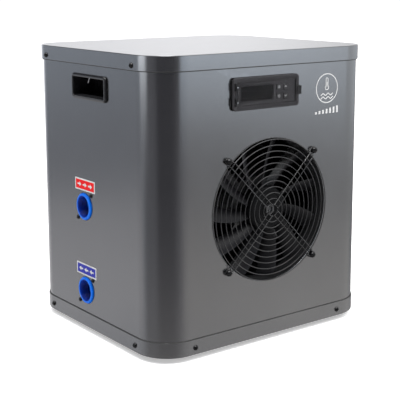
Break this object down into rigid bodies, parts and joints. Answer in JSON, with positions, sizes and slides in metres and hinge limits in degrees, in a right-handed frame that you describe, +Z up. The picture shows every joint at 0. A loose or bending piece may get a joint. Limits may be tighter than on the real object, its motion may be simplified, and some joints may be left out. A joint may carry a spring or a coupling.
{
  "type": "pool heat pump",
  "caption": "Small box-shaped pool heat pump with a caged axial fan, a panel controller under a flip cover, and two blue side water unions.",
  "frame": {"origin": "on the floor under the middle of the whole unit's box", "axes": "+Z up, the fan and controller face -Y, the water unions are on the -X side"},
  "size_m": [0.4078, 0.3516, 0.42],
  "materials": {
    "case_paint": "satin metallic graphite powder coat",
    "lid_paint": "satin metallic graphite powder coat",
    "black_plastic": "satin moulded",
    "fan_plastic": "satin moulded",
    "guard_wire": "glossy black dipped wire",
    "black_screw": "black zinc, glossy",
    "control_grey": "fine moulded grain",
    "key_grey": "satin keys with light pictograms",
    "screen_black": "dark display window",
    "clear_cover": "clear smoke-grey moulding",
    "blue_fitting": "bright blue moulded",
    "black_rubber": "matte",
    "copper_tube": "drawn copper",
    "fin_aluminium": "bright rolled fins",
    "zinc_steel": "zinc plated",
    "black_steel": "black enamel",
    "titanium_tube": "drawn titanium",
    "white_plastic": "plain moulded",
    "brass_fitting": "turned",
    "board_green": "solder mask"
  },
  "bodies": {
    "case": {"base_pan": "case_paint", "wrap_panel": "case_paint", "rear_grille_panel": "case_paint", "top_lid": "lid_paint", "handle_cup_left": "black_plastic", "handle_cup_right": "black_plastic", "fan_shroud": "black_plastic", "compressor_terminal_cover": "black_plastic", "terminal_block": "black_plastic", "cable_gland": "black_plastic", "fan_guard": "guard_wire", "guard_screw_upper_left": "black_screw", "guard_screw_upper_right": "black_screw", "guard_screw_lower_left": "black_screw", "guard_screw_lower_right": "black_screw", "controller_bezel": "control_grey", "controller_module": "control_grey", "controller_back_cover": "control_grey", "display_window": "screen_black", "union_outlet": "blue_fitting", "union_inlet": "blue_fitting", "foot_front_left": "black_rubber", "foot_front_right": "black_rubber", "foot_rear_left": "black_rubber", "foot_rear_right": "black_rubber", "controller_gasket": "black_rubber", "compressor_mount_1": "black_rubber", "compressor_mount_2": "black_rubber", "compressor_mount_3": "black_rubber", "discharge_pipe": "black_rubber", "suction_pipe": "black_rubber", "evaporator_end_left": "copper_tube", "evaporator_end_right": "copper_tube", "filter_drier": "copper_tube", "liquid_pipe": "copper_tube", "capillary_tube": "copper_tube", "evaporator_fins": "fin_aluminium", "cover_hinge_pin": "zinc_steel", "electrical_box": "zinc_steel", "electrical_box_cover": "zinc_steel", "fan_motor": "black_steel", "motor_bracket": "black_steel", "compressor": "black_steel", "accumulator": "black_steel", "titanium_coil": "titanium_tube", "exchanger_shell": "white_plastic", "exchanger_bottom_cap": "white_plastic", "exchanger_top_cap": "white_plastic", "run_capacitor": "white_plastic", "flow_switch": "brass_fitting", "controller_board": "board_green"},
    "impeller": {"fan_impeller": "fan_plastic", "fan_shaft": "zinc_steel", "fan_hub_nut": "black_steel"},
    "cover": {"flip_cover": "clear_cover"},
    "key_set": {"button_set": "key_grey"},
    "key_up": {"button_up": "key_grey"},
    "key_down": {"button_down": "key_grey"},
    "key_power": {"button_power": "key_grey"},
    "paddle": {"flow_switch_paddle": "brass_fitting"}
  },
  "joints": [
    {"name": "fan_spin", "type": "hinge", "parent": "case", "child": "impeller", "pos_m": [-0.0051, -0.16675, 0.1934], "axis": [0, 1, 0], "continuous": true},
    {"name": "cover_hinge", "type": "hinge", "parent": "case", "child": "cover", "pos_m": [-0.0747, -0.17405, 0.3626], "axis": [0, 0, -1], "range_deg": [0, 110]},
    {"name": "key_set_press", "type": "slide", "parent": "case", "child": "key_set", "axis": [0, 1, 0], "range_m": [0, 0.0008], "stiffness_N_per_m": 900},
    {"name": "key_up_press", "type": "slide", "parent": "case", "child": "key_up", "axis": [0, 1, 0], "range_m": [0, 0.0008], "stiffness_N_per_m": 900},
    {"name": "key_down_press", "type": "slide", "parent": "case", "child": "key_down", "axis": [0, 1, 0], "range_m": [0, 0.0008], "stiffness_N_per_m": 900},
    {"name": "key_power_press", "type": "slide", "parent": "case", "child": "key_power", "axis": [0, 1, 0], "range_m": [0, 0.0008], "stiffness_N_per_m": 900},
    {"name": "paddle_swing", "type": "hinge", "parent": "case", "child": "paddle", "pos_m": [-0.1341, -0.01645, 0.0645], "axis": [0, 0, -1], "range_deg": [0, 20], "stiffness_Nm_per_rad": 0.02}
  ]
}
